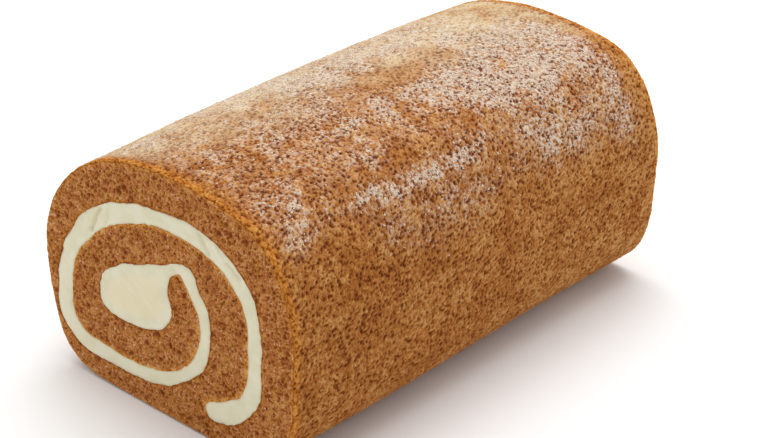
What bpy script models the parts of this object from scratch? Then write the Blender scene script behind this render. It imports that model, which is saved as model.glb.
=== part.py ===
"""A swiss roll cake: a log of sponge rolled up round a cream filling.

Units are metres and +Z is up. The roll lies along Y on its flat underside. The origin is at the
middle of that underside. The ends face -Y and +Y, and both show the swirl of cream.
"""

import math

import bmesh
import bpy
import numpy as np

MM = 0.001

# Driving sizes
LENGTH = 180 * MM
WIDTH = 116.5 * MM
HEIGHT = 89.2 * MM           # at the ends
RIM_RADIUS = 1.8 * MM        # soft edge where the skin turns into an end
CREAM_INSET = 0.3 * MM       # how far the cream stops short of each end
GAP = 0.3 * MM               # space kept between the cream and the sponge

# Unevenness along the length
CROWN = 1.8 * MM             # how much higher the top is halfway along
BOW = 0.5 * MM               # how far the sides wander
SWIRL_DRIFT = 1.3 * MM       # how far the middle of the swirl moves from front to back
MIDDLE_FALL = 8              # how fast that move dies away towards the skin

# Resolution
SKIN_STEPS = 3               # points for each span of the skin outline
CREAM_STEPS = 2              # points for each span of the cream outline
RIM_STEPS = 3
BODY_SPANS = 9
CREAM_SPANS = 8
CUTTER_REACH = 2 * MM        # how far the cutter stands out of each end

# Skin outline seen from the front, as (x, z) in mm, anticlockwise from the underside. Its own
# width and height are fitted to WIDTH and HEIGHT.
SKIN_OUTLINE = (
    (-14, 0), (20, 0), (39, 1.5), (50, 9), (55.5, 21), (57, 38), (57.3, 54), (54, 66.5),
    (48.5, 76.5), (39, 84.8), (22, 88.6), (3, 90), (-13, 88.6), (-28.5, 84.2),
    (-41.5, 76.2), (-51.8, 65), (-57.5, 52), (-58.8, 38), (-57, 22), (-52, 8), (-40, 1.2),
)

# The cream layer from its outer tip to the middle of the roll, as (x, z, thickness) in mm. It
# runs up the right side, over the top, down the left, along the bottom and up again inside.
CREAM_LAYER = (
    (18.4, 10.7, 5.2), (21.8, 11.6, 7.2), (26.4, 13.4, 8), (33.4, 17.8, 6.6), (37.2, 22.4, 6.2),
    (39.2, 28.5, 6.4), (40.2, 38, 5.6),
    (40.2, 48, 5.8), (38, 57.5, 6), (32.5, 64.4, 6.4), (24, 69.2, 6.8), (13, 72.2, 6.8),
    (0, 72.2, 6), (-12, 70.2, 6.4), (-23.5, 65.8, 7), (-34.5, 59, 8), (-42, 50.8, 6.6),
    (-47, 42, 6.6), (-49.8, 31, 7.2), (-49.2, 19.6, 8), (-42, 13, 6.8), (-29.5, 11.8, 5.8),
    (-17, 11.6, 5.2), (-5, 13.2, 4.8), (5.5, 18, 4.6), (13.5, 25.2, 5), (17.5, 34, 4.8),
    (18.2, 42.5, 4.6), (16.6, 47.6, 5.1), (14, 52, 5),
)

# The thick middle of the cream in mm, from the end of the layer over the top of the core, down
# its left, along its bottom and up beside the last tongue of sponge to that tongue's tip.
CREAM_CORE = (
    (14.6, 58), (11.8, 60.2), (6, 58.9), (-2.5, 55.6), (-12.5, 52), (-21.5, 48.6), (-28.5, 43.2), (-32, 36.5),
    (-30.5, 30.2), (-22, 28.6), (-10.5, 29.2), (-2, 32.6), (2.5, 39), (1.5, 46), (2.2, 51),
    (4.4, 54.3), (8, 55.6),
)


def smooth_loop(points, steps):
    """A closed Catmull-Rom curve through points, with steps new points for each span."""
    here = np.asarray(points, float)
    before = np.roll(here, 1, axis=0)
    after = np.roll(here, -1, axis=0)
    beyond = np.roll(here, -2, axis=0)
    rows = []
    for step in range(steps):
        t = step / steps
        linear = (after - before) * t
        square = (2 * before - 5 * here + 4 * after - beyond) * t ** 2
        cube = (3 * here - before - 3 * after + beyond) * t ** 3
        rows.append((2 * here + linear + square + cube) / 2)
    return np.stack(rows, axis=1).reshape(-1, here.shape[1])


def side_normals(points, closed):
    """Unit normals on the right-hand side of a line of points."""
    if closed:
        along = np.roll(points, -1, axis=0) - np.roll(points, 1, axis=0)
    else:
        along = np.gradient(points, axis=0)
    along /= np.linalg.norm(along, axis=1, keepdims=True)
    return np.stack([along[:, 1], -along[:, 0]], axis=1)


def skin_outline():
    """The skin's section, fitted to the roll's width and height, with a flat underside."""
    outline = smooth_loop(SKIN_OUTLINE, SKIN_STEPS)
    outline[:, 1] = np.maximum(outline[:, 1], 0)
    low = outline.min(axis=0)
    high = outline.max(axis=0)
    outline = (outline - [(low[0] + high[0]) / 2, low[1]]) / (high - low)
    return outline * [WIDTH, HEIGHT]


def cream_outline():
    """The cream's section: out along the layer, round the core and back along the layer."""
    layer = np.array(CREAM_LAYER, float)
    centre = layer[:, :2]
    half = side_normals(centre, closed=False) * layer[:, 2:] / 2
    edge = np.concatenate([centre + half, np.array(CREAM_CORE, float), (centre - half)[::-1]])
    return smooth_loop(edge, CREAM_STEPS) * MM


def grown(outline, amount):
    """An anticlockwise outline moved outwards by amount."""
    return outline + side_normals(outline, closed=True) * amount


def uneven(outline, y, drift=0.0):
    """The outline as it lies at y: crowned, bowed, and its middle moved by drift."""
    share = np.clip(y / LENGTH + 0.5, 0, 1)
    crown = CROWN / HEIGHT * math.sin(math.pi * share)
    x = outline[:, 0] + BOW * math.sin(2 * math.pi * share)
    z = outline[:, 1] * (1 + crown)
    middle = np.exp(-MIDDLE_FALL * ((x / WIDTH) ** 2 + (z / HEIGHT - 0.5) ** 2))
    shift = drift * share * middle
    return np.stack([x + shift, np.full_like(x, y), z + shift], axis=1)


def loft(name, rings):
    """A closed body through rings of equal length, with a flat face on the first and last."""
    mesh = bpy.data.meshes.new(name)
    shape = bmesh.new()
    loops = [[shape.verts.new(point) for point in ring] for ring in rings]
    for near, far in zip(loops, loops[1:]):
        count = len(near)
        for i in range(count):
            j = (i + 1) % count
            shape.faces.new((near[i], near[j], far[j], far[i]))
    shape.faces.new(loops[0][::-1])
    shape.faces.new(loops[-1])
    bmesh.ops.recalc_face_normals(shape, faces=shape.faces)
    shape.to_mesh(mesh)
    shape.free()
    return bpy.data.objects.new(name, mesh)


def rim_insets():
    """Pairs of (distance from the end, inset of the skin) round the soft edge of an end."""
    turns = [math.pi / 2 * step / RIM_STEPS for step in range(RIM_STEPS + 1)]
    return [(RIM_RADIUS * (1 - math.cos(turn)), RIM_RADIUS * (1 - math.sin(turn)))
            for turn in turns]


def skin_rings():
    """Rings of the whole roll from front to back, drawn in at both ends."""
    outline = skin_outline()
    half = LENGTH / 2
    front = [(depth - half, inset) for depth, inset in rim_insets()]
    back = [(-y, inset) for y, inset in reversed(front)]
    middle = np.linspace(front[-1][0], back[0][0], BODY_SPANS + 1)[1:-1]
    stations = front + [(y, 0.0) for y in middle] + back
    rings = []
    for y, inset in stations:
        ring = uneven(grown(outline, -inset), y)
        ring[:, 2] = np.maximum(ring[:, 2], 0)
        rings.append(ring)
    return rings


def cream_rings(extra, reach):
    """Rings of the cream, grown by extra and running reach past the ends."""
    outline = grown(cream_outline(), extra)
    ends = LENGTH / 2 + reach
    places = np.linspace(-ends, ends, CREAM_SPANS + 1)
    return [uneven(outline, y, SWIRL_DRIFT) for y in places]


def material(name, colour, roughness):
    """A plain finish."""
    finish = bpy.data.materials.new(name)
    finish.use_nodes = True
    shader = finish.node_tree.nodes["Principled BSDF"]
    shader.inputs["Base Color"].default_value = (*colour, 1)
    shader.inputs["Roughness"].default_value = roughness
    shader.inputs["Metallic"].default_value = 0
    return finish


def collection(name):
    """A new collection in the scene."""
    group = bpy.data.collections.new(name)
    bpy.context.scene.collection.children.link(group)
    return group


def make_cutter(group):
    """The cream's shape with the gap round it, which hollows out the sponge."""
    cutter = loft("cream_space", cream_rings(GAP, CUTTER_REACH))
    cutter.hide_render = True
    cutter.display_type = "WIRE"
    group.objects.link(cutter)
    return cutter


def make_sponge(group, cutter):
    """The rolled sheet of sponge, one piece from its outer end to the tongue in the middle."""
    sponge = loft("sponge", skin_rings())
    sponge.data.materials.append(material("sponge", (0.40, 0.17, 0.055), 0.9))
    hollow = sponge.modifiers.new("swirl", "BOOLEAN")
    hollow.operation = "DIFFERENCE"
    hollow.solver = "EXACT"
    hollow.object = cutter
    sponge.data.shade_smooth()
    sponge.data.set_sharp_from_angle(angle=math.radians(40))
    group.objects.link(sponge)


def make_cream(group):
    """The cream, spread on the sheet and rolled up with it."""
    cream = loft("cream_filling", cream_rings(0.0, -CREAM_INSET))
    cream.data.materials.append(material("cream_filling", (0.87, 0.78, 0.56), 0.55))
    cream.data.shade_smooth()
    cream.data.set_sharp_from_angle(angle=math.radians(40))
    group.objects.link(cream)


def main():
    for thing in list(bpy.data.objects):
        bpy.data.objects.remove(thing, do_unlink=True)
    roll = collection("swiss_roll_cake")
    cutters = collection("cutters")
    cutter = make_cutter(cutters)
    make_sponge(roll, cutter)
    make_cream(roll)


main()
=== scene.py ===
"""A swiss roll cake: browned sponge rolled round a cream filling and dusted with icing sugar.

The roll lies along Y on its flat underside, its cut swirl at the front (-Y) and again at the back.
Sections are drawn in millimetres as seen from the front: x to the right, z up.
Each noise and each set of pores has a seed of its own, the last number of its call.
"""

import itertools
import math

import bpy
import numpy as np
from mathutils import Matrix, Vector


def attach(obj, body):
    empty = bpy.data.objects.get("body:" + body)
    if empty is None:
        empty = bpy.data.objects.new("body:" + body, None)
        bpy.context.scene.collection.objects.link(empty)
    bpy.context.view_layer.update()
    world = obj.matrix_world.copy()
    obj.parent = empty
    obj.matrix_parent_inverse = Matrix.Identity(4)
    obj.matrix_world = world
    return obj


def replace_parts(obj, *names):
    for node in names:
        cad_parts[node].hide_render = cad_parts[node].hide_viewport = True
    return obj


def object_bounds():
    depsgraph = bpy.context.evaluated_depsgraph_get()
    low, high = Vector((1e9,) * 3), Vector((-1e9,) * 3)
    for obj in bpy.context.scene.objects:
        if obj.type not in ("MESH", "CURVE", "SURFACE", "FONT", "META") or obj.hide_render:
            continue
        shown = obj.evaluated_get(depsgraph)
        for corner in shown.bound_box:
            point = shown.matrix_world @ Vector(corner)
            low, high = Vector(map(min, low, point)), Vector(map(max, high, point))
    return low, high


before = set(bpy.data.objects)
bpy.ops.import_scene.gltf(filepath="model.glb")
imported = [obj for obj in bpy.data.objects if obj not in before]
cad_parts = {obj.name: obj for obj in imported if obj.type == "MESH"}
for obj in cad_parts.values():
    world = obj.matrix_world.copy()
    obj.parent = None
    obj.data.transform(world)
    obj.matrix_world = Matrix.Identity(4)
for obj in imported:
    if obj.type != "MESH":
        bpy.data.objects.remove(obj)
CAD_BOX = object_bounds()

MM = 0.001

# ---- the roll's section -------------------------------------------------------------------------------

SKIN_OUTLINE = (
    (-14, 0), (20, 0), (39, 1.5), (50, 9), (55.5, 21), (57, 38), (57.3, 54), (54, 66.5),
    (48.5, 76.5), (39, 84.8), (22, 88.6), (3, 90), (-13, 88.6), (-28.5, 84.2),
    (-41.5, 76.2), (-51.8, 65), (-57.5, 52), (-58.8, 38), (-57, 22), (-52, 8), (-40, 1.2),
)
# x, z and thickness of the cream sheet, from its outer tip to the middle of the roll
CREAM_LAYER = (
    (17.5, 10.3, 2.6), (18.9, 10.8, 5.6), (21.8, 11.6, 7.2), (26.4, 13.4, 8), (33.4, 17.8, 6.6),
    (37.2, 22.4, 6.2), (39.2, 28.5, 6.4), (40.2, 38, 5.6),
    (40.2, 48, 5.8), (38, 57.5, 6), (32.5, 64.4, 6.4), (24, 69.2, 6.8), (13, 72.2, 6.8),
    (0, 72.2, 6), (-12, 70.2, 6.4), (-23.5, 65.8, 7), (-34.5, 59, 8), (-42, 50.8, 6.6),
    (-47, 42, 6.6), (-49.8, 31, 7.2), (-49.2, 19.6, 8), (-42, 13, 6.8), (-29.5, 11.8, 5.8),
    (-17, 11.6, 5.2), (-5, 13.2, 4.8), (5.5, 18, 4.6), (13.5, 25.2, 5), (17.5, 34, 4.8),
    (18.2, 42.5, 4.6), (16.6, 47.6, 5.1), (14, 52, 5),
)
# the thick middle of the cream: over its top, down the left, along below, and up beside the sponge tongue
CREAM_CORE = (
    (14.6, 58), (11.8, 60.2), (6, 58.9), (-2.5, 55.6), (-12.5, 52), (-21.5, 48.6), (-28.5, 43.2),
    (-32, 36.5), (-30.5, 30.2), (-22, 28.6), (-10.5, 29.2), (-2, 32.6), (2.5, 39), (1.5, 46), (2.2, 51),
    (4.4, 54.3), (8, 55.6),
)
WIDTH = 116.5 * MM
HEIGHT = 89.2 * MM
LENGTH = CAD_BOX[1][1] - CAD_BOX[0][1]
SWIRL_MIDDLE = np.array((-8, 42)) * MM

# how the roll varies along its length: crown and bow, the swirl's drift, and how quickly that drift fades
# away from the middle of the section
CROWN = 1.8 * MM
BOW = 0.5 * MM
SWIRL_DRIFT = 1.3 * MM
MIDDLE_FALL = 8
# how much fuller the section grows behind the front end and again towards the back, and how much longer the
# looks are than the solids
SWELL = 0.008
SWELL_BY = 0.3
SWELL_BACK = 0.001
SWELL_BACK_FROM = 0.65
LONGER = 0.8 * MM

# ---- how the surfaces are made ------------------------------------------------------------------------

# steps from one drawn point to the next
OUTLINE_STEPS = 24
CREAM_EDGE_STEPS = 12
FACE_EDGE_STEPS = 8
# the skin is made in slices, each a closed tube with its own wall
SKIN_SLICES = 4
SKIN_STEP = 0.41 * MM
SKIN_INSET = 0.02 * MM
SKIN_WALL = 1.9 * MM
INNER_ROWS = 5
# the quarter-round rim at each end of the roll: it dips behind the cut face, and its relief fades to a share
RIM = 1.25 * MM
RIM_ROWS = 6
RIM_TURN = math.radians(62)
RIM_DIP = 1.2 * MM
RIM_FOOT = 0.5 * MM
RIM_RELIEF = 0.6
RIM_WALL_GAP = 0.2 * MM
# under the roll the steps are coarser, the relief is pressed flatter, and the skin is lifted off the floor
UNDERSIDE_STEP = 0.9 * MM
UNDERSIDE_FROM = -26 * MM
UNDERSIDE_TO = 50 * MM
UNDERSIDE_BLEND = 14 * MM
UNDERSIDE_PRESSED = 0.55
UNDERSIDE_LIFT = 0.22 * MM
# the cut faces and the bodies behind them, drawn in slightly so that they stay inside the skin
FACE_STEP = 0.394 * MM
FACE_INSET = 0.8 * MM
BODY_ROWS = 6
BODY_DRAW_IN = 0.972


def smooth_loop(points, steps):
    """Closed Catmull-Rom curve through the points, with so many steps from each point to the next."""
    here = np.asarray(points, float)
    before = np.roll(here, 1, axis=0)
    after = np.roll(here, -1, axis=0)
    beyond = np.roll(here, -2, axis=0)
    rows = []
    for step in range(steps):
        t = step / steps
        square = (2 * before - 5 * here + 4 * after - beyond) * t**2
        cube = (3 * here - before - 3 * after + beyond) * t**3
        rows.append((2 * here + (after - before) * t + square + cube) / 2)
    return np.stack(rows, 1).reshape(-1, here.shape[1])


def side_normals(points, closed):
    """Unit normals on the right-hand side of a path: its direction turned a quarter turn clockwise."""
    if closed:
        along = np.roll(points, -1, axis=0) - np.roll(points, 1, axis=0)
    else:
        along = np.gradient(points, axis=0)
    along = along / np.linalg.norm(along, axis=1, keepdims=True)
    return np.stack([along[:, 1], -along[:, 0]], 1)


def skin_outline(steps):
    """The skin's section as a smooth loop, flat underneath, fitted to the roll's width and height."""
    loop = smooth_loop(SKIN_OUTLINE, steps)
    loop[:, 1] = np.maximum(loop[:, 1], 0)
    low = loop.min(0)
    span = loop.max(0) - low
    return (loop - low) / span * (WIDTH, HEIGHT) - (WIDTH / 2, 0)


def cream_outline(steps):
    """The cream's section: half its thickness either side of the sheet's middle line, closed round the
    core."""
    sheet = np.asarray(CREAM_LAYER, float)
    core = np.asarray(CREAM_CORE, float)
    side = side_normals(sheet[:, :2], False) * sheet[:, 2:] / 2
    edge = np.concatenate([sheet[:, :2] + side, core, (sheet[:, :2] - side)[::-1]])
    return smooth_loop(edge, steps) * MM


def uneven(x, y, z, drift):
    """The roll's small unevenness along its length: the top rises by half a sine wave in the middle, the
    roll bows sideways by a whole sine wave, the swirl drifts up and right towards the back, and the section
    swells a little behind the front end."""
    share = np.clip(y / LENGTH + 0.5, 0, 1)
    crown = CROWN / HEIGHT * np.sin(np.pi * share)
    bowed = x + BOW * np.sin(2 * np.pi * share)
    raised = z * (1 + crown)
    middle = np.exp(-MIDDLE_FALL * ((bowed / WIDTH) ** 2 + (raised / HEIGHT - 0.5) ** 2))
    shift = drift * share * middle
    swell = 1 + SWELL * ramp(share, 0, SWELL_BY) + SWELL_BACK * ramp(share, SWELL_BACK_FROM, 1)
    return np.stack([(bowed + shift) * swell, y + LONGER * share, (raised + shift) * swell], -1)


# ---- numbers that look random -------------------------------------------------------------------------

CELL_PRIMES = (73856093, 19349663, 83492791)
SEED_PRIME = 2654435761
MIXER = np.uint32(0x45D9F3B)
HALF_WORD = np.uint32(16)
LOW_BITS = 0xFFFFFF


def lattice(cells, seed):
    """A number from 0 to 1 for each whole-numbered cell: its parts times large primes, mixed bit by bit."""
    parts = cells.astype(np.int64).astype(np.uint32)
    mixed = np.uint32(seed * SEED_PRIME % 2**32)
    for axis, prime in enumerate(CELL_PRIMES):
        mixed = mixed ^ parts[..., axis] * np.uint32(prime)
    for _ in range(2):
        mixed = (mixed ^ (mixed >> HALF_WORD)) * MIXER
    mixed = mixed ^ (mixed >> HALF_WORD)
    return (mixed & np.uint32(LOW_BITS)) / LOW_BITS


def noise(points, size, seed):
    """Smooth noise from -1 to 1 in lumps about one size across: random corner values blended by a smooth
    step."""
    scaled = points / size
    cell = np.floor(scaled)
    share = scaled - cell
    share = share * share * (3 - 2 * share)
    total = np.zeros(points.shape[:-1])
    for corner in itertools.product((0, 1), repeat=3):
        weight = np.prod(np.where(np.array(corner, bool), share, 1 - share), axis=-1)
        total += weight * lattice(cell + corner, seed)
    return 2 * total - 1


def hollows(points, spacing, narrow, wide, seed):
    """Round pores, one in each cube of the spacing, with radii from narrow to wide: 1 at a pore's middle,
    down to 0 at its radius by 1 - (d/r)^2."""
    scaled = points / spacing
    cell = np.floor(scaled)
    deepest = np.zeros(points.shape[:-1])
    for offset in itertools.product((-1, 0, 1), repeat=3):
        here = cell + offset
        middle = here + np.stack([lattice(here, seed + k) for k in range(3)], -1)
        radius = narrow + (wide - narrow) * lattice(here, seed + 3)
        apart = np.sum((scaled - middle) ** 2, -1) * (spacing / radius) ** 2
        deepest = np.maximum(deepest, 1 - apart)
    return deepest


def warped(points, size, reach, seed):
    """The points pushed about by smooth noise, so that what is drawn on them loses its roundness."""
    push = np.stack([noise(points, size, seed + k) for k in range(3)], -1)
    return points + reach * push


def ramp(value, low, high):
    """0 below low, 1 above high and a smooth step between."""
    share = np.clip((value - low) / (high - low), 0, 1)
    return share * share * (3 - 2 * share)


# ---- mesh helpers -------------------------------------------------------------------------------------


def make_piece(name, points, faces, smooth, values, material):
    """A mesh from arrays of points and equal-sided faces, with one number a point for each named value."""
    mesh = bpy.data.meshes.new(name)
    corners = faces.shape[1]
    mesh.vertices.add(len(points))
    mesh.vertices.foreach_set("co", points.astype(np.float32).ravel())
    mesh.loops.add(faces.size)
    mesh.loops.foreach_set("vertex_index", faces.astype(np.int32).ravel())
    mesh.polygons.add(len(faces))
    mesh.polygons.foreach_set("loop_start", np.arange(len(faces), dtype=np.int32) * corners)
    mesh.polygons.foreach_set("use_smooth", smooth)
    mesh.update(calc_edges=True)
    mesh.validate()
    for label, numbers in values.items():
        attribute = mesh.attributes.new(label, "FLOAT", "POINT")
        attribute.data.foreach_set("value", numbers.astype(np.float32).ravel())
    mesh.materials.append(material)
    piece = bpy.data.objects.new(name, mesh)
    bpy.context.scene.collection.objects.link(piece)
    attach(piece, "root")
    return piece


# ---- materials ----------------------------------------------------------------------------------------

# colours from the bottom of a pore, 0, to the top of a crest, 1; the dark end is partly the sponge's own
# colour and partly painted shade in the pores
SKIN_SHADES = (
    (0.0, (0.13, 0.031, 0.005)),
    (0.35, (0.27, 0.075, 0.012)),
    (0.7, (0.412, 0.152, 0.031)),
    (1.0, (0.57, 0.295, 0.10)),
)
RIM_SHADES = ((0.0, (0.19, 0.045, 0.005)), (0.45, (0.43, 0.13, 0.012)), (1.0, (0.68, 0.31, 0.065)))
CRUMB_SHADES = (
    (0.0, (0.16, 0.036, 0.008)),
    (0.35, (0.315, 0.09, 0.019)),
    (0.7, (0.485, 0.175, 0.045)),
    (1.0, (0.70, 0.38, 0.17)),
)
GOLDEN_SHADES = ((0.0, (0.19, 0.048, 0.006)), (0.45, (0.38, 0.122, 0.018)), (1.0, (0.66, 0.33, 0.10)))
SOAKED_SHADES = ((0.0, (0.24, 0.062, 0.006)), (0.45, (0.48, 0.155, 0.016)), (1.0, (0.72, 0.36, 0.09)))
# pairs of colours that a blotchy noise goes between
FILM_COLOURS = ((0.73, 0.62, 0.50), (0.74, 0.70, 0.61))
CREAM_BAND_COLOURS = ((0.74, 0.695, 0.49), (0.79, 0.75, 0.56))
CREAM_CORE_COLOURS = ((0.80, 0.715, 0.475), (0.82, 0.74, 0.51))
SUGAR_COLOURS = ((0.77, 0.65, 0.54), (0.70, 0.55, 0.43))
FLOOR_COLOURS = ((0.93, 0.93, 0.93), (0.94, 0.94, 0.94))
# the haze's colour: partly sugar film, partly painted sheen
HAZE_AND_SHEEN_COLOUR = (0.67, 0.53, 0.33)
FLECK_COLOUR = (0.78, 0.55, 0.40)
# the sponge's stain on the cream's edges, also used as painted shade in the cream's folds
STAIN_AND_FOLD_SHADE_COLOUR = (0.60, 0.42, 0.19)
# light goes a little way into the cream, red the furthest
CREAM_GLOW = 0.25
CREAM_GLOW_REACH = 1.5 * MM
CREAM_GLOW_COLOURS = (1.0, 0.8, 0.5)
# how deep the shading's own roughness is, and how far its small pores are bent, in their own sizes
PORE_BUMP = 0.25 * MM
CREAM_BUMP = 0.12 * MM
PRICK_BEND = 0.9


class Finish:
    """A procedural material on object coordinates, built node by node."""

    def __init__(self, name, roughness, specular):
        """A new material with its shader's roughness and gloss, and the object coordinates to draw on."""
        self.material = bpy.data.materials.new(name)
        self.material.use_nodes = True
        self.tree = self.material.node_tree
        self.shader = self.tree.nodes["Principled BSDF"]
        self.shader.inputs["Roughness"].default_value = roughness
        self.shader.inputs["Specular IOR Level"].default_value = specular
        self.place = self.tree.nodes.new("ShaderNodeTexCoord").outputs["Object"]

    def link(self, value, socket):
        """A number or colour is set on the socket; the output of another node is linked to it."""
        if isinstance(value, bpy.types.NodeSocket):
            self.tree.links.new(value, socket)
        elif isinstance(value, tuple):
            socket.default_value = (*value, 1)
        else:
            socket.default_value = value

    def value(self, name):
        """The number that the piece's mesh carries under a name."""
        node = self.tree.nodes.new("ShaderNodeAttribute")
        node.attribute_name = name
        return node.outputs["Fac"]

    def speckle(self, size, detail=2.0, roughness=0.5):
        """Noise with lumps about one size across."""
        node = self.tree.nodes.new("ShaderNodeTexNoise")
        self.link(self.place, node.inputs["Vector"])
        node.inputs["Scale"].default_value = 1 / size
        node.inputs["Detail"].default_value = detail
        node.inputs["Roughness"].default_value = roughness
        return node.outputs["Fac"]

    def prick(self, size, amount):
        """Small uneven pores: amount at the middle of each warped cell, down to 0 towards its edge."""
        bend = self.tree.nodes.new("ShaderNodeTexNoise")
        self.link(self.place, bend.inputs["Vector"])
        bend.inputs["Scale"].default_value = 1 / size
        add = self.tree.nodes.new("ShaderNodeVectorMath")
        add.operation = "MULTIPLY_ADD"
        self.link(bend.outputs["Color"], add.inputs[0])
        add.inputs[1].default_value = (size * PRICK_BEND,) * 3
        self.link(self.place, add.inputs[2])
        node = self.tree.nodes.new("ShaderNodeTexVoronoi")
        self.link(add.outputs[0], node.inputs["Vector"])
        node.inputs["Scale"].default_value = 1 / size
        return self.span(node.outputs["Distance"], 0.12, 0.5, amount, 0.0)

    def span(self, value, low, high, start=0.0, end=1.0):
        """Carries value from low..high to start..end, by a smooth step."""
        node = self.tree.nodes.new("ShaderNodeMapRange")
        node.interpolation_type = "SMOOTHSTEP"
        for socket, number in zip(node.inputs[:5], (value, low, high, start, end)):
            self.link(number, socket)
        return node.outputs[0]

    def calculate(self, kind, first, second):
        """Adds, subtracts or multiplies two numbers."""
        node = self.tree.nodes.new("ShaderNodeMath")
        node.operation = kind
        self.link(first, node.inputs[0])
        self.link(second, node.inputs[1])
        return node.outputs[0]

    def mix(self, share, first, second):
        """The first colour where the share is 0, the second where it is 1, and a blend between."""
        node = self.tree.nodes.new("ShaderNodeMix")
        node.data_type = "RGBA"
        self.link(share, node.inputs[0])
        self.link(first, node.inputs[6])
        self.link(second, node.inputs[7])
        return node.outputs[2]

    def shades(self, value, stops):
        """A run of colours, each at its own value."""
        node = self.tree.nodes.new("ShaderNodeValToRGB")
        self.link(value, node.inputs[0])
        band = node.color_ramp.elements
        while len(band) < len(stops):
            band.new(0.5)
        for element, (place, colour) in zip(band, stops):
            element.position = place
            element.color = (*colour, 1)
        return node.outputs[0]

    def bump(self, height, distance):
        """Fine roughness in the shading, as deep as the distance where the height goes from 0 to 1."""
        node = self.tree.nodes.new("ShaderNodeBump")
        node.inputs["Distance"].default_value = distance
        node.inputs["Strength"].default_value = 1.0
        self.link(height, node.inputs["Height"])
        self.tree.links.new(node.outputs[0], self.shader.inputs["Normal"])

    def colour(self, value):
        """Sets the surface's own colour."""
        self.link(value, self.shader.inputs["Base Color"])


def skin_finish():
    """Browned skin: dark in its pores, partly as painted shade, to tan on its crests, orange at the cut rims,
    filmed with sugar, and hazed over the top partly by sugar and partly by painted sheen.
    """
    finish = Finish("browned skin", 0.85, 0.12)
    grain = finish.speckle(0.7 * MM, 2.0, 0.55)
    blotch = finish.span(finish.speckle(11 * MM, 3.0), 0.35, 0.65, -0.08, 0.08)
    # the tone darkens in the pores, partly the skin's own colour and partly painted shade
    tone_and_pore_shade = finish.calculate("ADD", finish.value("tone_and_pore_shade"), finish.span(grain, 0.25, 0.75, -0.13, 0.13))
    tone_and_pore_shade = finish.calculate("ADD", tone_and_pore_shade, blotch)
    tone_and_pore_shade = finish.calculate("SUBTRACT", tone_and_pore_shade, finish.prick(0.9 * MM, 0.27))
    base = finish.shades(tone_and_pore_shade, SKIN_SHADES)
    base = finish.mix(finish.value("rim"), base, finish.shades(tone_and_pore_shade, RIM_SHADES))
    # the haze over the top: partly sugar film, partly painted sheen
    haze_and_sheen_share = finish.calculate("MULTIPLY", finish.value("haze_and_sheen"), finish.span(tone_and_pore_shade, 0.1, 0.9, 0.5, 0.86))
    base = finish.mix(haze_and_sheen_share, base, HAZE_AND_SHEEN_COLOUR)
    # sugar lies in small lumps and keeps to the crests, so that the pores stay dark
    lump = finish.span(finish.speckle(1.2 * MM, 1.5), 0.37, 0.63, 0.2, 1.15)
    lying = finish.span(finish.calculate("MULTIPLY", finish.value("sugar"), lump), 0.0, 0.8, 0.0, 0.78)
    dusted = finish.calculate("MULTIPLY", lying, finish.span(tone_and_pore_shade, 0.12, 0.88, 0.05, 1.0))
    film = finish.mix(finish.span(finish.speckle(2.2 * MM), 0.35, 0.65), *FILM_COLOURS)
    finish.colour(finish.mix(dusted, base, film))
    finish.bump(tone_and_pore_shade, PORE_BUMP)
    return finish.material


def crumb_finish():
    """Cut crumb: reddish brown, finely pored and darker in its pores partly as painted shade, orange along
    the sheet's own faces and where cream has soaked in, with pale flecks on its crests."""
    finish = Finish("cut sponge crumb", 0.88, 0.1)
    grain = finish.speckle(0.65 * MM, 3.0, 0.7)
    blotch = finish.span(finish.speckle(5 * MM, 3.0), 0.35, 0.65, -0.07, 0.07)
    # the tone darkens in the pores, partly the crumb's own colour and partly painted shade
    tone_and_pore_shade = finish.calculate("ADD", finish.value("tone_and_pore_shade"), finish.span(grain, 0.25, 0.75, -0.18, 0.18))
    tone_and_pore_shade = finish.calculate("ADD", tone_and_pore_shade, blotch)
    tone_and_pore_shade = finish.calculate("SUBTRACT", tone_and_pore_shade, finish.prick(0.8 * MM, 0.3))
    golden = finish.span(finish.speckle(3.2 * MM), 0.42, 0.62)
    base = finish.mix(golden, finish.shades(tone_and_pore_shade, CRUMB_SHADES), finish.shades(tone_and_pore_shade, GOLDEN_SHADES))
    base = finish.mix(finish.value("line"), base, finish.shades(tone_and_pore_shade, SOAKED_SHADES))
    fleck = finish.span(finish.speckle(1.4 * MM, 2.0, 0.6), 0.6, 0.68, 0.0, 0.6)
    fleck = finish.calculate("MULTIPLY", fleck, finish.span(tone_and_pore_shade, 0.4, 0.8))
    finish.colour(finish.mix(fleck, base, FLECK_COLOUR))
    finish.bump(tone_and_pore_shade, PORE_BUMP)
    return finish.material


def cream_finish():
    """Whipped cream cheese filling: pale ivory, a little deeper in the middle of the roll, stained by the
    sponge at its edges, darkened in its folds as painted shade, soft to light."""
    finish = Finish("cream filling", 0.5, 0.35)
    shade = finish.span(finish.speckle(7 * MM, 3.0), 0.35, 0.65)
    band = finish.mix(shade, *CREAM_BAND_COLOURS)
    core = finish.mix(shade, *CREAM_CORE_COLOURS)
    base = finish.mix(finish.value("core"), band, core)
    # the stain along the edges, and painted shade in the folds
    finish.colour(finish.mix(finish.value("stain_and_fold_shade"), base, STAIN_AND_FOLD_SHADE_COLOUR))
    finish.shader.inputs["Subsurface Weight"].default_value = CREAM_GLOW
    finish.shader.inputs["Subsurface Radius"].default_value = CREAM_GLOW_COLOURS
    finish.shader.inputs["Subsurface Scale"].default_value = CREAM_GLOW_REACH
    finish.bump(finish.speckle(1.2 * MM, 3.0, 0.6), CREAM_BUMP)
    return finish.material


def sugar_finish():
    """Icing sugar: soft white, faintly warm where it has drawn moisture from the skin."""
    finish = Finish("icing sugar", 0.65, 0.3)
    warm = finish.span(finish.speckle(1.6 * MM), 0.35, 0.65)
    finish.colour(finish.mix(warm, *SUGAR_COLOURS))
    return finish.material


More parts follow.
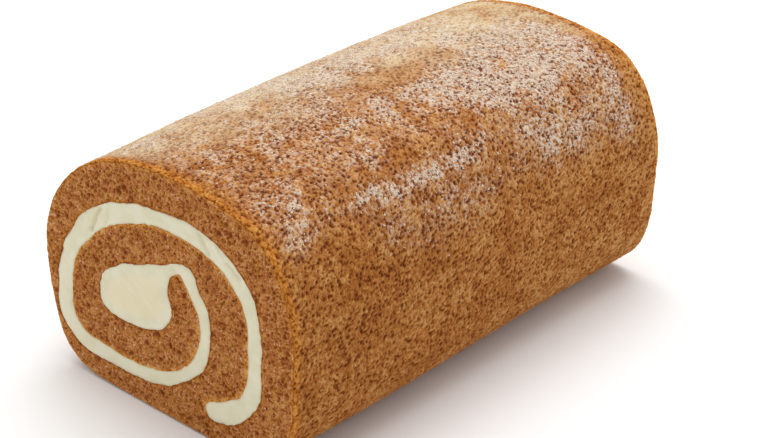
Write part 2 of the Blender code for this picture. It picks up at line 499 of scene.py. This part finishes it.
def floor_finish():
    """A plain pale floor."""
    finish = Finish("pale floor", 0.8, 0.1)
    finish.colour(finish.mix(finish.speckle(120 * MM), *FLOOR_COLOURS))
    return finish.material


# ---- skin ---------------------------------------------------------------------------------------------

# the section as a closed path, the arc length at each of its points, and its outward sides
SKIN_PATH = skin_outline(OUTLINE_STEPS)
SKIN_CLOSED = np.concatenate([SKIN_PATH, SKIN_PATH[:1]])
SKIN_ARC = np.concatenate([[0], np.cumsum(np.linalg.norm(np.diff(SKIN_CLOSED, axis=0), axis=1))])
SKIN_SIDES = side_normals(SKIN_PATH, True)
SKIN_SIDES = np.concatenate([SKIN_SIDES, SKIN_SIDES[:1]])
GIRTH = SKIN_ARC[-1]

# the skin's pores, large and small: spacing, narrowest and widest radius
SKIN_PORES = (1.3 * MM, 0.3 * MM, 0.76 * MM)
SKIN_PRICKS = (0.9 * MM, 0.24 * MM, 0.5 * MM)
# how the skin's tone starts, and how much paler it grows at the back than in the middle
BAKED_TONE = 0.81
PALER_TOWARDS_BACK = 0.05
# a small dent in the far shoulder: place along the roll and round the skin, reach and depth
DENT_Y = 87 * MM
DENT_ARC = 146 * MM
DENT_REACH = 4 * MM
DENT_DEPTH = 0.8 * MM
# the orange colour of a cut rim, full at its edge and gone further in
RIM_FULL = 1.1 * MM
RIM_GONE = 3.3 * MM
# icing sugar drifts: place along the roll, place round the skin, half-length, half-width and amount, the
# lengths in millimetres; a negative amount thins the sugar out
SUGAR_DRIFTS = (
    (-78, 214, 10, 5, 0.4), (-18, 212, 32, 9, 0.45), (-10, 202, 22, 7, 0.55), (32, 200, 12, 5, 0.55),
    (48, 190, 11, 7, 0.5), (38, 208, 34, 9, 0.34), (-52, 182, 34, 12, 0.14), (-22, 168, 12, 5, 0.4),
    (2, 170, 13, 4, 0.55), (22, 167, 14, 6, 0.7), (28, 158, 18, 8, 0.88), (48, 153, 14, 7, 0.68),
    (60, 172, 24, 13, 0.6), (60, 156, 15, 8, 0.4), (-20, 140, 38, 3.2, 0.5), (-39, 139, 13, 3.2, 0.25),
    (-76, 148, 12, 12, 0.2), (-80, 140, 12, 7, 0.3), (42, 134, 25, 12, 0.56), (78, 137, 13, 19, 0.55),
    (-15, 127, 26, 10, 0.36), (0, 236, 70, 10, 0.22), (-35, 242, 24, 7, 0.3), (38, 240, 28, 8, 0.3),
    (3, 184, 20, 8, -0.25), (-8, 195, 18, 7, 0.35), (76, 206, 16, 13, -0.2), (-40, 155, 8, 16, 0.2),
    (0, 140, 8, 5, 0.3), (78, 158, 9, 12, 0.15), (40, 175, 9, 8, 0.15), (80, 165, 8, 20, 0.12),
    (-74, 189, 12, 8, 0.1), (-42, 131, 10, 7, 0.2), (-22, 181, 9, 6, 0.25),
)
# the thin scatter over the top: its amount, and where round the skin it rises and fades out again
SCATTER = 0.26
SUGAR_FROM = 138 * MM
SUGAR_RISE = 16 * MM
SUGAR_TO = 262 * MM
SUGAR_FADE = 38 * MM
# the ends stay bare: no sugar within the first distance, all of it past the second, which is longer behind
BARE_END = 2.5 * MM
DUSTED_FROM = 7.5 * MM
DUSTED_LATER_BEHIND = 8 * MM
# the haze, partly a sugar film and partly painted sheen: where round the skin it rises and fades, how far its
# near edge slants along the roll, and how far from the ends it starts and is full
HAZE_FROM = 166 * MM
HAZE_RISE = 38 * MM
HAZE_TO = 266 * MM
HAZE_FADE = 42 * MM
HAZE_SLANT = 0.17
HAZE_BARE_END = 1.5 * MM
HAZE_FULL_FROM = 5 * MM


def skin_at(arc, inset):
    """Point (x, z) of the section at an arc length anticlockwise from below, moved inwards, and its outward
    side."""
    arc = np.mod(arc, GIRTH)
    side = np.stack([np.interp(arc, SKIN_ARC, SKIN_SIDES[:, k]) for k in range(2)], -1)
    side = side / np.linalg.norm(side, axis=-1, keepdims=True)
    point = np.stack([np.interp(arc, SKIN_ARC, SKIN_CLOSED[:, k]) for k in range(2)], -1)
    return point - side * inset[..., None], side


def skin_relief(points):
    """Height of the skin over its base, how deep in a large pore a point is, and its tone from 0 in a pore to
    1 on a crest, its darkness in the pores partly the skin's own colour and partly painted shade. Both are
    broad, middle, small and fine lumps less large and small pores, and the tone grows slightly paler towards
    the back."""
    bent = warped(points, 0.9 * MM, 0.3 * MM, 11)
    large = hollows(bent, *SKIN_PORES, 21)
    small = hollows(bent, *SKIN_PRICKS, 26)
    crests = noise(points, 1.0 * MM, 31)
    fine = noise(points, 0.6 * MM, 34)
    middle = noise(points, 3.0 * MM, 32)
    broad = noise(points, 15 * MM, 33)
    raised = 0.08 * fine + 0.14 * crests + 0.12 * middle + 0.14 * broad
    height = (raised - 0.55 * large - 0.24 * small) * MM
    towards_back = PALER_TOWARDS_BACK * points[..., 1] / LENGTH * 2
    pale = towards_back + BAKED_TONE + 0.1 * fine + 0.2 * crests + 0.08 * middle
    # darker in the pores: partly the skin's own colour, partly painted shade
    tone_and_pore_shade = np.clip(pale - 0.92 * large - 0.38 * small, 0, 1)
    return height, large, tone_and_pore_shade


def sugar_share(points, arc):
    """How thickly sugar lies, from 0 to 1: a thin scatter over the top and thicker drifts, each a soft oval,
    broken up by noise and faded out before the ends."""
    along = points[..., 1] + 4 * MM * noise(points, 11 * MM, 41)
    around = arc + 2.5 * MM * noise(points, 8 * MM, 42)
    share = SCATTER * ramp(around, SUGAR_FROM, SUGAR_FROM + SUGAR_RISE)
    share = share * ramp(around, SUGAR_TO, SUGAR_TO - SUGAR_FADE)
    for y, s, length, width, amount in SUGAR_DRIFTS:
        far = ((along / MM - y) / length) ** 2 + ((around / MM - s) / width) ** 2
        share = share + amount * np.exp(-far)
    share = share * (1 + 0.6 * noise(points, 4.5 * MM, 43) + 0.4 * noise(points, 2.0 * MM, 44))
    from_end = LENGTH / 2 - np.abs(points[..., 1])
    dusted = DUSTED_FROM + DUSTED_LATER_BEHIND * (points[..., 1] > 0)
    return np.clip(share, 0, 1) * ramp(from_end, BARE_END, dusted)


def sugar_haze_and_sheen(points, arc):
    """The faint film over the top, from 0 to 1, partly left there by sugar and partly painted sheen: it rises
    from the right, fades down the left side, and is patchy by noise."""
    slanted = arc + HAZE_SLANT * points[..., 1] + 4 * MM * noise(points, 12 * MM, 47)
    fading = arc + 9 * MM * noise(points, 17 * MM, 48) + 5 * MM * noise(points, 5 * MM, 49)
    over = ramp(slanted, HAZE_FROM, HAZE_FROM + HAZE_RISE) * ramp(fading, HAZE_TO, HAZE_TO - HAZE_FADE)
    from_end = LENGTH / 2 - np.abs(points[..., 1])
    patchy = 0.75 + 0.45 * noise(points, 7 * MM, 45) + 0.25 * noise(points, 2.5 * MM, 46)
    return np.clip(over * patchy, 0, 1) * ramp(from_end, HAZE_BARE_END, HAZE_FULL_FROM)


def skin_stations():
    """Arc lengths round the section: fine steps where the skin shows, coarser ones under the roll."""
    under = np.arange(UNDERSIDE_FROM, UNDERSIDE_TO, UNDERSIDE_STEP)
    shown = np.arange(UNDERSIDE_TO, UNDERSIDE_FROM + GIRTH - SKIN_STEP / 2, SKIN_STEP)
    return np.concatenate([under, shown])


def slice_profile(front, back):
    """One slice's rows: place along the roll, inset, turn towards the end, and share of relief. The outer
    face runs back, ends in a quarter-round rim where it is the roll's end, and the inner wall comes forward
    again."""
    turns = np.linspace(RIM_TURN, 0, RIM_ROWS)
    rim_y = RIM * (1 - np.sin(turns))
    rim_in = RIM * (1 - np.cos(turns))
    first = front <= -LENGTH / 2 + MM
    last = back >= LENGTH / 2 - MM
    low = front + (RIM if first else 0)
    high = back - (RIM if last else 0)
    y = np.linspace(low, high, round((high - low) / SKIN_STEP) + 1)
    inset = np.zeros_like(y)
    turn = np.zeros_like(y)
    weight = np.ones_like(y)
    if first:
        y = np.concatenate([[front + RIM_DIP], front + rim_y[:-1], y])
        inset = np.concatenate([[rim_in[0] + RIM_FOOT], rim_in[:-1], inset])
        turn = np.concatenate([[RIM_TURN], turns[:-1], turn])
        weight = np.concatenate([[0], np.linspace(RIM_RELIEF, 1, RIM_ROWS - 1), weight])
    if last:
        y = np.concatenate([y, (back - rim_y[:-1])[::-1], [back - RIM_DIP]])
        inset = np.concatenate([inset, rim_in[:-1][::-1], [rim_in[0] + RIM_FOOT]])
        turn = np.concatenate([turn, -turns[:-1][::-1], [-RIM_TURN]])
        weight = np.concatenate([weight, np.linspace(1, RIM_RELIEF, RIM_ROWS - 1), [0]])
    start = front + (RIM_DIP + RIM_WALL_GAP if first else 0)
    stop = back - (RIM_DIP + RIM_WALL_GAP if last else 0)
    inner = np.linspace(stop, start, INNER_ROWS)
    outer_rows = len(y)
    y = np.concatenate([y, inner])
    inset = np.concatenate([inset, np.full(INNER_ROWS, SKIN_WALL)])
    turn = np.concatenate([turn, np.zeros(INNER_ROWS)])
    weight = np.concatenate([weight, np.zeros(INNER_ROWS)])
    return y, inset, turn, weight, outer_rows


def make_skin(name, front, back, material):
    """A slice of the skin as one closed tube: section points inset from the roll's outline, raised by the
    relief along the section's side, or towards the end on the rim."""
    arc = skin_stations()
    y, inset, turn, weight, outer_rows = slice_profile(front, back)
    rows = len(y)
    columns = len(arc)
    arc_grid = np.broadcast_to(arc, (rows, columns))
    y_grid = np.broadcast_to(y[:, None], (rows, columns))
    flat, side = skin_at(arc_grid, SKIN_INSET + np.broadcast_to(inset[:, None], (rows, columns)))
    points = uneven(flat[..., 0], y_grid, flat[..., 1], 0.0)
    height, _, tone_and_pore_shade = skin_relief(points)
    lean = turn[:, None]
    upright = np.cos(lean)
    endwards = -np.sin(lean) + 0 * side[..., 0]
    out = np.stack([side[..., 0] * upright, endwards, side[..., 1] * upright], -1)
    under = ramp(arc_grid, UNDERSIDE_FROM, UNDERSIDE_FROM + UNDERSIDE_BLEND)
    under = under * ramp(arc_grid, UNDERSIDE_TO, UNDERSIDE_TO - UNDERSIDE_BLEND)
    amount = weight[:, None] * (1 - UNDERSIDE_PRESSED * under)
    from_dent = ((y_grid - DENT_Y) ** 2 + (arc_grid - DENT_ARC) ** 2) / DENT_REACH**2
    dent = DENT_DEPTH * np.exp(-from_dent) * (weight[:, None] > 0)
    lift = UNDERSIDE_LIFT * under * (weight[:, None] > 0)
    points = points + out * (height * amount - dent - lift)[..., None]
    from_end = LENGTH / 2 - np.abs(y_grid)
    edge = from_end + 1.1 * MM * noise(points, 3 * MM, 51) + 0.6 * MM * noise(points, 1.3 * MM, 52)
    around = np.mod(arc_grid, GIRTH)
    values = {
        "tone_and_pore_shade": tone_and_pore_shade,
        "rim": 1 - ramp(edge, RIM_FULL, RIM_GONE),
        "sugar": sugar_share(points, around),
        "haze_and_sheen": sugar_haze_and_sheen(points, around),
    }
    index = np.arange(rows * columns).reshape(rows, columns)
    after = np.roll(index, -1, axis=0)
    faces = np.stack([index, after, np.roll(after, -1, axis=1), np.roll(index, -1, axis=1)], -1)
    smooth = np.zeros((rows, columns), bool)
    smooth[: outer_rows - 1] = True
    points = points.reshape(-1, 3)
    faces = faces.reshape(-1, 4)
    return make_piece(name, points, faces, smooth.ravel(), values, material)


# ---- the cut ends -------------------------------------------------------------------------------------

# the crumb's pores, large, small and the few big holes: spacing, narrowest and widest radius
CRUMB_PORES = (1.3 * MM, 0.3 * MM, 0.72 * MM)
CRUMB_PRICKS = (0.85 * MM, 0.2 * MM, 0.46 * MM)
CRUMB_HOLES = (4 * MM, 0.4 * MM, 1.5 * MM)
CRUMB_TONE = 0.72
# depths behind the roll's end, in millimetres: the crumb, the cream, and the edge where they meet
CRUMB_DEPTH = 0.4
CREAM_DEPTH = 0.34
EDGE_DEPTH = 0.5
# the directions across and along the strokes that the knife has left on the cream's face
ACROSS_STROKES = np.array((0.5, 0, 0.86))
ALONG_STROKES = np.array((0.86, 0, -0.5))
# folds left in the cream of the front face: from (x, z) to (x, z), and depth, in millimetres
CREAM_FOLDS = (
    (-29, 66.5, -34, 57, 0.7), (-24, 70, -27, 60, 0.35), (17, 75, 21.5, 68, 0.45),
    (29.5, 68, 34.5, 64.5, 0.5), (25, 72, 28.5, 67, -0.3), (-38, 60, -44, 55, 0.3), (47, 52, 53, 49, 0.35),
    (4, 57, 9, 53, 0.3),
)
FOLD_WIDTH = 0.85 * MM


def loop_distance(points, loop):
    """Distance of each point from a closed loop, more than 0 inside: the nearest of its segments, and a
    count of how often a line from the point crosses the loop."""
    nearest = np.full(len(points), np.inf)
    inside = np.zeros(len(points), bool)
    for start, end in zip(loop, np.roll(loop, -1, axis=0)):
        along = end - start
        away = points - start
        share = np.clip(away @ along / (along @ along), 0, 1)
        nearest = np.minimum(nearest, np.sum((away - share[:, None] * along) ** 2, 1))
        if start[1] != end[1]:
            between = (start[1] > points[:, 1]) != (end[1] > points[:, 1])
            across = start[0] + away[:, 1] / along[1] * along[0]
            inside ^= between & (points[:, 0] < across)
    return np.where(inside, 1, -1) * np.sqrt(nearest)


def pull_to_line(points, field, step):
    """Moves the points of a square grid onto the line where the field is 0, where that is within half a
    step, so that no side of a cell crosses the line any more. Returns the moved points and the field with
    its zeros."""
    best = np.full(field.shape, np.inf)
    shift = np.zeros((*field.shape, 2))
    for axis in (0, 1):
        low = [slice(None), slice(None)]
        high = [slice(None), slice(None)]
        low[axis] = slice(None, -1)
        high[axis] = slice(1, None)
        low = tuple(low)
        high = tuple(high)
        crosses = field[low] * field[high] < 0
        share = np.where(crosses, field[low] / np.where(crosses, field[low] - field[high], 1), np.inf)
        for here, gap, sign in ((low, share, 1), (high, 1 - share, -1)):
            nearer = crosses & (gap <= 0.5) & (gap < best[here])
            best[here] = np.where(nearer, gap, best[here])
            move = np.zeros((*share.shape, 2))
            move[..., axis] = sign * np.where(nearer, gap, 0) * step
            shift[here] = np.where(nearer[..., None], move, shift[here])
    moved = np.isfinite(best)
    return points + shift, np.where(moved, 0, field)


def swirl_cells():
    """The cut end as a square grid of points pulled onto the cream's edge and the skin line, and its
    triangles sorted into crumb and cream. The edge is the smooth one plus small bites of noise. Each point's
    fields are its depth inside the cream and inside the skin, and how far the cream's edge there faces the
    middle of the swirl, from -1 to 1."""
    half = WIDTH / 2 + MM
    x = np.arange(-half, half, FACE_STEP)
    z = np.arange(-MM, HEIGHT + MM, FACE_STEP)
    points = np.stack(np.meshgrid(x, z, indexing="ij"), -1)
    flat = points.reshape(-1, 2)
    cream = loop_distance(flat, cream_outline(CREAM_EDGE_STEPS)).reshape(points.shape[:2])
    skin = loop_distance(flat, skin_outline(FACE_EDGE_STEPS)).reshape(points.shape[:2])
    skin = skin - FACE_INSET - SKIN_INSET
    deep = np.concatenate([flat, np.zeros((len(flat), 1))], 1)
    rise = np.stack(np.gradient(cream, FACE_STEP), -1)
    to_middle = SWIRL_MIDDLE - points
    inward = -np.sum(rise * to_middle, -1) / np.linalg.norm(to_middle, axis=-1)
    bites = 0.4 * noise(deep, 6 * MM, 61) + 0.18 * noise(deep, 1.9 * MM, 62)
    bites = bites + 0.12 * noise(deep, 0.9 * MM, 63)
    cream = cream + bites.reshape(cream.shape) * MM
    points, cream_sign = pull_to_line(points, cream, FACE_STEP)
    points, skin_sign = pull_to_line(points, skin, FACE_STEP)
    index = np.arange(cream.size).reshape(cream.shape)
    a = index[:-1, :-1]
    b = index[1:, :-1]
    c = index[1:, 1:]
    d = index[:-1, 1:]
    sign = np.sign(cream_sign).ravel()
    skin_flat = np.sign(skin_sign).ravel()
    turned = ((sign[a] * sign[c] < 0) | (skin_flat[a] * skin_flat[c] < 0))[..., None]
    first = np.where(turned, np.stack([a, b, d], -1), np.stack([a, b, c], -1)).reshape(-1, 3)
    second = np.where(turned, np.stack([b, c, d], -1), np.stack([a, c, d], -1)).reshape(-1, 3)
    triangles = np.concatenate([first, second])
    inside = (skin_flat[triangles] >= 0).all(1) & (skin.ravel()[triangles].mean(1) > 0)
    triangles = triangles[inside]
    total = sign[triangles].sum(1)
    is_cream = np.where(total == 0, cream.ravel()[triangles].mean(1) > 0, total > 0)
    fields = cream.ravel(), skin.ravel(), inward.ravel()
    return points.reshape(-1, 2), fields, triangles[~is_cream], triangles[is_cream]


def make_swirl_part(name, section, triangles, sink, keys, material):
    """A body with the same section at both ends: the front cut face, the back one, and walls along its
    edges, drawn in between the ends. sink(points, used) gives how far each point of a cut face lies behind
    the roll's end, and under each key the numbers that the finish reads there."""
    used, local = np.unique(triangles, return_inverse=True)
    front = local.reshape(-1, 3)
    flat = section[used]
    count = len(used)
    edges = np.concatenate([front[:, [0, 1]], front[:, [1, 2]], front[:, [2, 0]]])
    forward = edges[:, 0] * count + edges[:, 1]
    backward = edges[:, 1] * count + edges[:, 0]
    rims = edges[~np.isin(forward, backward)]
    ring = np.unique(rims)
    slot_of = np.full(count, -1)
    slot_of[ring] = np.arange(len(ring))
    points = []
    labels = {key: [] for key in keys}
    for end in (-1, 1):
        level = np.full(count, end * LENGTH / 2)
        base = uneven(flat[:, 0], level, flat[:, 1], SWIRL_DRIFT)
        depth, marks = sink(base, used)
        base[:, 1] -= end * depth
        points.append(base)
        for key in keys:
            labels[key].append(marks[key])
    between = []
    for y in np.linspace(-LENGTH / 2, LENGTH / 2, BODY_ROWS + 2)[1:-1]:
        x = flat[ring, 0] * BODY_DRAW_IN
        z = (flat[ring, 1] - HEIGHT / 2) * BODY_DRAW_IN + HEIGHT / 2
        between.append(uneven(x, np.full(len(ring), y), z, SWIRL_DRIFT))
        for key in keys:
            labels[key].append(np.zeros(len(ring)))
    points = np.concatenate(points + between)
    rows = [rims]
    for row in range(BODY_ROWS):
        rows.append(2 * count + row * len(ring) + slot_of[rims])
    rows.append(rims + count)
    faces = [front, front[:, ::-1] + count]
    for near, far in itertools.pairwise(rows):
        faces.append(np.stack([near[:, 1], near[:, 0], far[:, 0]], -1))
        faces.append(np.stack([near[:, 1], far[:, 0], far[:, 1]], -1))
    smooth = np.zeros(sum(len(f) for f in faces), bool)
    smooth[: 2 * len(front)] = True
    values = {key: np.concatenate(labels[key]) for key in keys}
    return make_piece(name, points, np.concatenate(faces), smooth, values, material)


def make_crumb(section, fields, triangles, material):
    """The sponge: a porous face between cream and skin, sinking slightly under the skin's rim. The sheet's
    own browned face shows as an orange line on the side of the cream that is nearer the middle of the roll;
    on the other side of the cream a dark line is painted shadow."""
    cream, skin, inward = fields

    def sink(points, used):
        """Depth: lumps of noise and pores, calmer near the skin and level with the cream along its edge.
        Tone: paler on the lumps, darker in the pores partly as painted shade, and darker beside the cream's
        outer
        side as painted shadow. Line: where the crumb is orange."""
        bent = warped(points, 0.8 * MM, 0.28 * MM, 71)
        large = hollows(bent, *CRUMB_PORES, 81)
        small = hollows(bent, *CRUMB_PRICKS, 84)
        hole = hollows(bent, *CRUMB_HOLES, 87)
        pore = np.maximum(np.maximum(large, hole), 0.5 * small)
        fine = 0.3 * noise(points, 1.1 * MM, 91) + 0.4 * noise(points, 0.55 * MM, 95)
        broad = 0.14 * noise(points, 3 * MM, 92) + 0.2 * noise(points, 12 * MM, 93)
        to_skin = skin[used]
        to_cream = -cream[used]
        depth = CRUMB_DEPTH - 0.2 * fine - broad + 0.6 * pore
        near_skin = 1 - ramp(to_skin, 0, 2.5 * MM)
        depth = depth * (1 - 0.75 * near_skin)
        near_cream = 1 - ramp(to_cream, 0.2 * MM, 1.2 * MM)
        depth = depth + near_cream * (EDGE_DEPTH - depth)
        wander = 0.5 * MM * noise(points, 1.5 * MM, 94)
        # painted shadow: the crumb is darkened beside the cream's outer side, and a little lighter along the
        # orange line on its inner side
        inner_side = ramp(inward[used], -0.2, 0.4)
        beside = 1 - ramp(to_cream + wander, 0.1 * MM, 1.1 * MM)
        shaded = beside * (0.18 * inner_side - 0.3 * (1 - inner_side))
        tone_and_pore_shade = np.clip(CRUMB_TONE + 0.32 * fine + 0.3 * broad - 0.68 * pore + shaded, 0, 1)
        line = 0.75 * (1 - ramp(to_skin + wander, 0.2 * MM, 1.6 * MM))
        soaked = (0.35 + 0.6 * inner_side) * (1 - ramp(to_cream + wander, 0.4 * MM, 1.9 * MM))
        return depth * MM, {"tone_and_pore_shade": tone_and_pore_shade, "line": np.maximum(line, soaked)}

    keys = ("tone_and_pore_shade", "line")
    return make_swirl_part("sponge_crumb", section, triangles, sink, keys, material)


def fold_depth(points):
    """How deep the folds press into the front face: each is a soft groove along a straight stroke."""
    depth = np.zeros(len(points))
    for x1, z1, x2, z2, amount in CREAM_FOLDS:
        start = np.array((x1, z1)) * MM
        along = np.array((x2 - x1, z2 - z1)) * MM
        away = points[:, [0, 2]] - start
        share = np.clip(away @ along / (along @ along), 0, 1)
        apart = np.sum((away - share[:, None] * along) ** 2, 1)
        depth = depth + amount * np.exp(-apart / FOLD_WIDTH**2)
    return depth * (points[:, 1] < 0)


def make_cream(section, cream, triangles, material):
    """The cream: a soft face with rounded edges, drawn by the knife into faint ridges."""

    def sink(points, used):
        """Depth: noise drawn out along the knife's strokes, rounder noise and the folds, meeting the crumb's
        depth at the edge. The stain lies along the edge, and the same colour lies in the folds as painted
        shade."""
        to_edge = cream[used]
        across = points @ ACROSS_STROKES
        drawn = np.stack([across, across * 0, points @ ALONG_STROKES * 0.22], -1)
        ridges = 0.18 * noise(drawn, 1.8 * MM, 101) + 0.3 * noise(points, 6 * MM, 102)
        ridges = ridges + 0.06 * noise(points, 1.2 * MM, 103)
        fold = fold_depth(points)
        depth = CREAM_DEPTH - ridges + 1.5 * fold
        depth = depth + (1 - ramp(to_edge, 0.2 * MM, 1.5 * MM)) * (EDGE_DEPTH - depth)
        patchy = 0.25 + 0.35 * ramp(noise(points, 2 * MM, 104), -0.1, 0.6)
        stain_and_fold_shade = (1 - ramp(to_edge, 0, 0.8 * MM)) * patchy
        # painted shade: the folds are darkened with the stain's colour
        stain_and_fold_shade = np.maximum(stain_and_fold_shade, 0.4 * np.clip(fold, 0, 1))
        return depth * MM, {"stain_and_fold_shade": stain_and_fold_shade, "core": ramp(to_edge, 2.8 * MM, 5 * MM)}

    keys = ("stain_and_fold_shade", "core")
    return make_swirl_part("cream_swirl", section, triangles, sink, keys, material)


# ---- icing sugar --------------------------------------------------------------------------------------

GOLDEN = (1 + math.sqrt(5)) / 2
CLOSE_ENOUGH = 1e-6
# draws made for each grain wanted
TRIES = 12
# a grain's thickness outwards and how far its middle stands above the skin, both in shares of its size
FLATNESS = 0.6
STANDS_PROUD = 0.1
# the share of sugar that lies between the clumps, and how strictly it keeps out of the pores
BETWEEN_CLUMPS = 0.15
KEEPS_OUT = 1.6
# how far beyond the scatter the draws go round the skin, before and after it, and how far from the ends
DRAW_BEFORE = 28 * MM
DRAW_AFTER = 8 * MM
DRAW_END = 2 * MM


def grain_shape(rounder):
    """A grain's corners and faces: an octahedron, or the rounder icosahedron whose corners are (0, 1, golden)
    and its turns. Three corners make a face where all are one side's length apart."""
    if not rounder:
        corners = [(1, 0, 0), (0, 1, 0), (-1, 0, 0), (0, -1, 0), (0, 0, 1), (0, 0, -1)]
    else:
        corners = []
        for one, gold in itertools.product((-1, 1), (-GOLDEN, GOLDEN)):
            corners += [(0, one, gold), (one, gold, 0), (gold, 0, one)]
    corners = np.array(corners, float)
    corners = corners / np.linalg.norm(corners[0])
    side = np.linalg.norm(corners[:, None] - corners[None], axis=-1)
    side_length = side[side > CLOSE_ENOUGH].min()
    near = np.abs(side - side_length) < CLOSE_ENOUGH
    faces = []
    for a, b, c in itertools.combinations(range(len(corners)), 3):
        if near[a, b] and near[b, c] and near[a, c]:
            outward = np.cross(corners[b] - corners[a], corners[c] - corners[a]) @ corners[a] > 0
            faces.append((a, b, c) if outward else (a, c, b))
    return corners, np.array(faces)


def lumps(draw, rounder, centre, out, size):
    """Many-sided lumps at the centres: each is scaled three ways, least along its outward side, and
    turned."""
    corners, lump_faces = grain_shape(rounder)
    along = draw.normal(size=(len(centre), 3))
    along = along - np.sum(along * out, 1, keepdims=True) * out * 0.8
    along = along / np.linalg.norm(along, axis=1, keepdims=True)
    across = np.cross(out, along)
    across = across / np.linalg.norm(across, axis=1, keepdims=True)
    up = np.cross(along, across)
    stretch = draw.uniform(0.6, 1.1, (len(centre), 3)) * (1, 0.85, FLATNESS) * size[:, None] / 2
    axes = np.stack([along, across, up], 1) * stretch[..., None]
    uneven_corners = corners[None] * draw.uniform(0.8, 1.2, (len(centre), len(corners), 1))
    points = centre[:, None] + np.einsum("nvk,nkc->nvc", uneven_corners, axes)
    faces = lump_faces[None] + len(corners) * np.arange(len(centre))[:, None, None]
    return points.reshape(-1, 3), faces.reshape(-1, 3)


def make_sugar(name, rounder, count, small, large, keenness, seed, material):
    """Grains of sugar as many-sided lumps, set on the skin where a draw falls under the sugar's share there,
    on the ridges rather than in the pores. A higher keenness keeps more of them to the thick drifts."""
    draw = np.random.default_rng(seed)
    tries = count * TRIES
    arc = draw.uniform(SUGAR_FROM - DRAW_BEFORE, SUGAR_TO + DRAW_AFTER, tries)
    y = draw.uniform(-LENGTH / 2 + DRAW_END, LENGTH / 2 - DRAW_END, tries)
    flat, side = skin_at(arc, np.full(tries, SKIN_INSET))
    base = uneven(flat[:, 0], y, flat[:, 1], 0.0)
    share = sugar_share(base, arc)
    clumps = ramp(noise(base, 2.0 * MM, seed + 1) + 0.6 * noise(base, 1.0 * MM, seed + 2), -0.5, 0.5)
    chance = share**keenness * (BETWEEN_CLUMPS + (1 - BETWEEN_CLUMPS) * clumps)
    kept = np.flatnonzero(draw.uniform(0, 1, tries) < chance)[: count * 2]
    height, pore, _ = skin_relief(base[kept])
    high = np.flatnonzero(draw.uniform(0, 1, len(kept)) > KEEPS_OUT * pore)[:count]
    kept = kept[high]
    out = np.stack([side[kept, 0], np.zeros(len(kept)), side[kept, 1]], -1)
    size = small + (large - small) * draw.uniform(0, 1, len(kept)) ** 2
    centre = base[kept] + out * (height[high] + STANDS_PROUD * size)[:, None]
    points, faces = lumps(draw, rounder, centre, out, size)
    smooth = np.zeros(len(faces), bool)
    return make_piece(name, points, faces, smooth, {}, material)


# ---- putting the roll together ------------------------------------------------------------------------

skin_material = skin_finish()
sugar_material = sugar_finish()
stops = np.linspace(-LENGTH / 2, LENGTH / 2, SKIN_SLICES + 1)
for number, (front, back) in enumerate(itertools.pairwise(stops), 1):
    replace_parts(make_skin(f"browned_skin_{number}", front, back, skin_material), "sponge")

section, fields, crumb_cells, cream_cells = swirl_cells()
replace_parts(make_crumb(section, fields, crumb_cells, crumb_finish()), "sponge")
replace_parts(make_cream(section, fields[0], cream_cells, cream_finish()), "cream_filling")
# rounder or not, how many, smallest and largest size, keenness and seed
make_sugar("icing_sugar_dust", False, 24900, 0.22 * MM, 0.45 * MM, 2.1, 501, sugar_material)
make_sugar("icing_sugar_grains", True, 9000, 0.45 * MM, 1.0 * MM, 2.7, 601, sugar_material)

# ---- floor, light and camera --------------------------------------------------------------------------

FLOOR_SIZE = 6.0
LIGHT_PLACE = (-0.2, 0.3, 1.4)
LIGHT_SIZE = 1.3
LIGHT_POWER = 16.1
ROOM_BRIGHTNESS = 0.68
CAMERA_TURN = math.radians(42.58)
CAMERA_RISE = math.radians(27.68)
CAMERA_AIM = np.array((16.4, -3.2, -0.5)) * MM
CAMERA_DISTANCE = 0.6827
CAMERA_LENS = 93.97
CAMERA_SENSOR = 36
CAMERA_CLIP = 0.05


def make_floor(material):
    """A square under the roll, at z = 0."""
    half = FLOOR_SIZE / 2
    corners = [(-half, -half, 0), (half, -half, 0), (half, half, 0), (-half, half, 0)]
    mesh = bpy.data.meshes.new("floor")
    mesh.from_pydata(corners, [], [(0, 1, 2, 3)])
    mesh.materials.append(material)
    floor = bpy.data.objects.new("floor", mesh)
    bpy.context.scene.collection.objects.link(floor)


def look_at(thing, place, target):
    """Puts a camera or light at a place, its own -Z turned to the target and its X level."""
    back = np.asarray(place, float) - np.asarray(target, float)
    back = back / np.linalg.norm(back)
    right = np.cross((0, 0, 1), back)
    right = right / np.linalg.norm(right)
    up = np.cross(back, right)
    rows = [[right[k], up[k], back[k], place[k]] for k in range(3)]
    thing.matrix_world = Matrix([*rows, [0, 0, 0, 1]])


def make_light(name, place, size, power, target):
    """A square area light at a place, turned to the target."""
    lamp = bpy.data.lights.new(name, "AREA")
    lamp.size = size
    lamp.energy = power
    light = bpy.data.objects.new(name, lamp)
    bpy.context.scene.collection.objects.link(light)
    look_at(light, place, target)


middle = (np.array(CAD_BOX[0]) + np.array(CAD_BOX[1])) / 2
make_floor(floor_finish())
make_light("overhead", LIGHT_PLACE, LIGHT_SIZE, LIGHT_POWER, middle)

world = bpy.data.worlds.new("pale room")
bpy.context.scene.world = world
world.use_nodes = True
room = world.node_tree.nodes["Background"]
room.inputs["Color"].default_value = (1, 1, 1, 1)
room.inputs["Strength"].default_value = ROOM_BRIGHTNESS

lens = bpy.data.cameras.new("camera")
lens.lens = CAMERA_LENS
lens.sensor_width = CAMERA_SENSOR
lens.clip_start = CAMERA_CLIP
camera = bpy.data.objects.new("camera", lens)
bpy.context.scene.collection.objects.link(camera)
back = np.array(
    (
        math.sin(CAMERA_TURN) * math.cos(CAMERA_RISE),
        -math.cos(CAMERA_TURN) * math.cos(CAMERA_RISE),
        math.sin(CAMERA_RISE),
    )
)
aim = middle + CAMERA_AIM
look_at(camera, aim + back * CAMERA_DISTANCE, aim)
bpy.context.scene.camera = camera
bpy.context.scene.view_settings.view_transform = "Standard"
